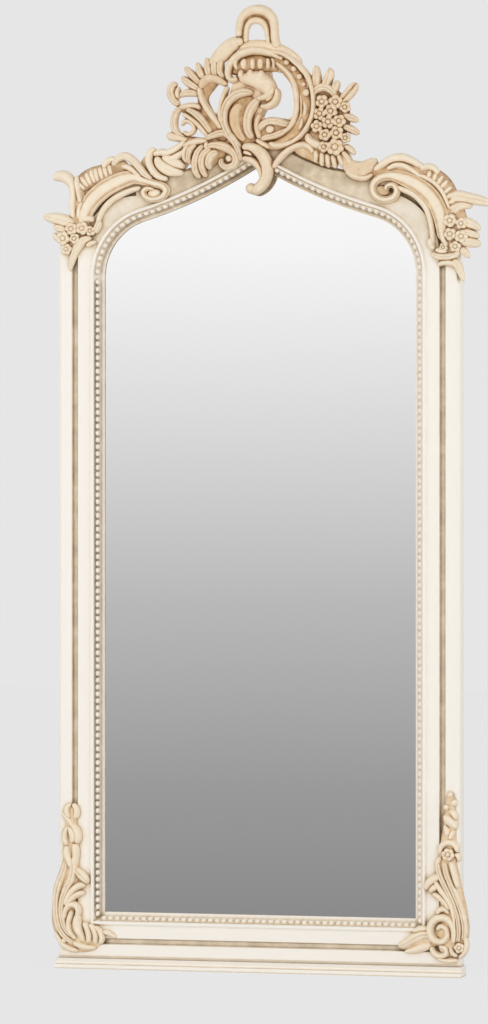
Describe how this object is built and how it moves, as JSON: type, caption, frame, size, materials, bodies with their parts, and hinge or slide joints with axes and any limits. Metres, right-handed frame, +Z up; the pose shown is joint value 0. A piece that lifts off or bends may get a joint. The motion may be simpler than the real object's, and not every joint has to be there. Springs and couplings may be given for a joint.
{
  "type": "mirror",
  "caption": "Tall arched wall mirror in a painted moulded frame with beaded edge, carved crest, shoulder scrolls and corner leaves, hung from two swinging rings.",
  "frame": {"origin": "middle of the plinth's bottom edge, on the plane of the frame's back", "axes": "+Z up, +X to the right seen from the front, the front faces -Y"},
  "size_m": [0.9093, 0.0727, 1.9004],
  "materials": {
    "painted_wood": "cream paint with a brown glaze wiped into the grooves, satin",
    "cast_ornament": "cast resin, cream paint with a golden brown glaze",
    "bead_strip": "cast resin beads, cream with brown glaze between them",
    "silvered_glass": "silvered float glass, 4 mm",
    "backing_board": "raw hardboard",
    "zinc_steel": "zinc plated steel",
    "soft_rubber": "black rubber"
  },
  "bodies": {
    "frame": {"left_stile": "painted_wood", "right_stile": "painted_wood", "bottom_rail": "painted_wood", "arch_rail_right": "painted_wood", "arch_rail_left": "painted_wood", "base_moulding": "painted_wood", "crest_board": "painted_wood", "crest_ring": "cast_ornament", "crest_plume": "cast_ornament", "crest_shell": "cast_ornament", "crest_scroll_left": "cast_ornament", "crest_scroll_right": "cast_ornament", "crest_spray": "cast_ornament", "crest_flowers": "cast_ornament", "crest_pendant": "cast_ornament", "crest_finial": "cast_ornament", "scroll_band_left": "cast_ornament", "scroll_band_right": "cast_ornament", "shoulder_ridge_left": "cast_ornament", "shoulder_ridge_right": "cast_ornament", "shoulder_spray_left": "cast_ornament", "shoulder_spray_right": "cast_ornament", "corner_leaf_left": "cast_ornament", "corner_leaf_right": "cast_ornament", "beads_left": "bead_strip", "beads_right": "bead_strip", "beads_bottom": "bead_strip", "beads_arch_left": "bead_strip", "beads_arch_right": "bead_strip", "mirror_glass": "silvered_glass", "back_panel": "backing_board", "panel_points": "zinc_steel", "corner_plate_left": "zinc_steel", "corner_plate_right": "zinc_steel", "joint_plate_left": "zinc_steel", "joint_plate_right": "zinc_steel", "apex_plate": "zinc_steel", "plate_screws": "zinc_steel", "crest_cleat_left": "zinc_steel", "crest_cleat_right": "zinc_steel", "cleat_screws": "zinc_steel", "hanger_strap_left": "zinc_steel", "hanger_strap_right": "zinc_steel", "hanger_screws": "zinc_steel", "setting_blocks": "soft_rubber", "wall_pads": "soft_rubber"},
    "ring_left": {"hanger_ring_left": "zinc_steel"},
    "ring_right": {"hanger_ring_right": "zinc_steel"}
  },
  "joints": [
    {"name": "ring_left_swing", "type": "hinge", "parent": "frame", "child": "ring_left", "pos_m": [-0.376, 0.00383, 1.18], "axis": [1, 0, 0], "range_deg": [0, 180]},
    {"name": "ring_right_swing", "type": "hinge", "parent": "frame", "child": "ring_right", "pos_m": [0.376, 0.00383, 1.18], "axis": [1, 0, 0], "range_deg": [0, 180]}
  ]
}
